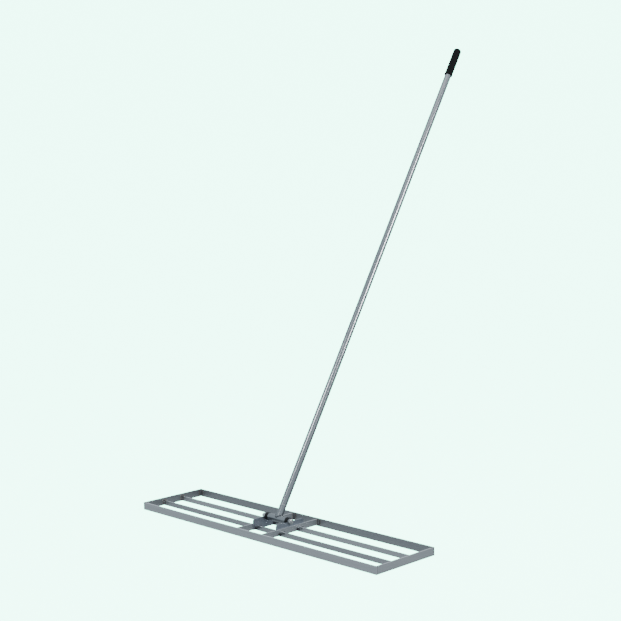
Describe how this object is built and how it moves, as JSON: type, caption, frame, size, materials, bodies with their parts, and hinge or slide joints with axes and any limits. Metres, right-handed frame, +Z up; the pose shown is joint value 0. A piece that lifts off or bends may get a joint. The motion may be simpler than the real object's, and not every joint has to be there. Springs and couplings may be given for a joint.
{
  "type": "lawn levelling rake",
  "caption": "Wide flat open frame of steel bars with slats, on a long round pole that tilts at a centre pivot; drags loose soil or sand level over a lawn.",
  "frame": {"origin": "middle of the head's working plane, on the ground", "axes": "+X along the head, +Y towards the back rail that the pole leans over, +Z up"},
  "size_m": [1.06, 1.0454, 1.5489],
  "materials": {
    "head_steel": "satin brushed stainless flat bar, fine lengthwise grain, light scuffs",
    "bracket_steel": "satin stainless plate",
    "pole_steel": "smooth satin stainless tube, polished lengthwise",
    "weld_metal": "rough heat-tinted weld bead",
    "black_fasteners": "black zinc hex screws and nuts",
    "bright_fasteners": "bright zinc-plated steel",
    "nylon_ring": "nylon locking ring",
    "black_bushes": "moulded black nylon",
    "black_plastic": "moulded black plastic",
    "grip_rubber": "matt black moulded grip"
  },
  "bodies": {
    "head": {"front_rail": "head_steel", "back_rail": "head_steel", "left_end_bar": "head_steel", "right_end_bar": "head_steel", "front_slat": "head_steel", "rear_slat": "head_steel", "left_cross_bar": "head_steel", "right_cross_bar": "head_steel", "left_ear": "bracket_steel", "right_ear": "bracket_steel", "ear_screws": "black_fasteners", "ear_screw_nuts": "black_fasteners", "ear_screw_washers": "black_fasteners", "slat_welds": "weld_metal", "cross_bar_welds": "weld_metal", "corner_welds": "weld_metal", "pivot_bolt": "bright_fasteners", "pivot_washers": "bright_fasteners", "pivot_lock_nut": "bright_fasteners", "lock_nut_ring": "nylon_ring"},
    "pole": {"foot_weld": "weld_metal", "left_bush": "black_bushes", "right_bush": "black_bushes", "pivot_tube": "pole_steel", "pole_foot": "pole_steel", "pole_section_1": "pole_steel", "joint_stud_1": "bright_fasteners", "joint_socket_1": "bright_fasteners", "pole_section_2": "pole_steel", "joint_stud_2": "bright_fasteners", "joint_socket_2": "bright_fasteners", "pole_section_3": "pole_steel", "joint_stud_3": "bright_fasteners", "joint_socket_3": "bright_fasteners", "pole_section_4": "pole_steel", "joint_stud_4": "bright_fasteners", "joint_socket_4": "bright_fasteners", "hand_grip": "grip_rubber", "end_plug": "black_plastic"}
  },
  "joints": [
    {"name": "pole_tilt", "type": "hinge", "parent": "head", "child": "pole", "pos_m": [0, 0, 0.039], "axis": [1, 0, 0], "range_deg": [-58.8, 121.2]}
  ]
}
